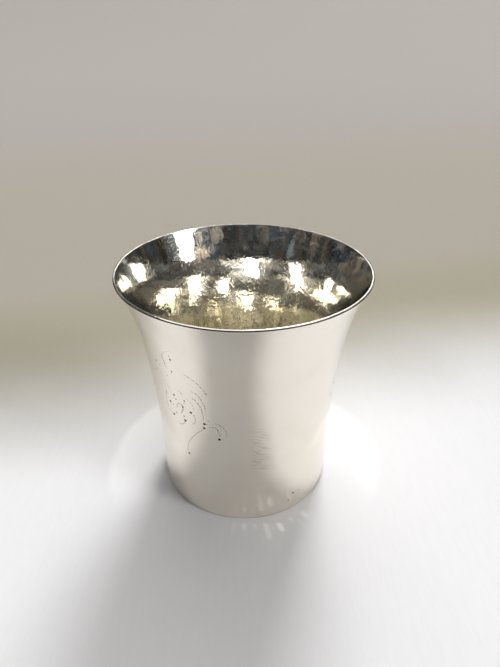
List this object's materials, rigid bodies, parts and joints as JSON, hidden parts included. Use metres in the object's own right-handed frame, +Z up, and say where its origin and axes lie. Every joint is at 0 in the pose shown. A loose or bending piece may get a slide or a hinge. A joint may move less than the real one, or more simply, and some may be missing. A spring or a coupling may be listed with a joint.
{
  "type": "beaker",
  "caption": "Flared drinking beaker of sheet silver with a wired lip, a base let into the foot and an engraved floral spray.",
  "frame": {"origin": "on the beaker's axis, at the edge it stands on", "axes": "+Z up along the beaker's axis, -Y towards the camera of the picture"},
  "size_m": [0.0842, 0.0842, 0.083],
  "materials": {
    "silver_wall": "satin silver outside with engraving, hammered and burnished inside",
    "silver_base": "hammered and burnished silver, scuffed underneath",
    "silver_wire": "polished silver, worn bright on top",
    "silver_solder": "slightly tarnished silver solder"
  },
  "bodies": {
    "root": {"beaker_wall": "silver_wall", "base_disc": "silver_base", "lip_wire": "silver_wire", "base_solder": "silver_solder", "lip_solder": "silver_solder"}
  },
  "joints": []
}
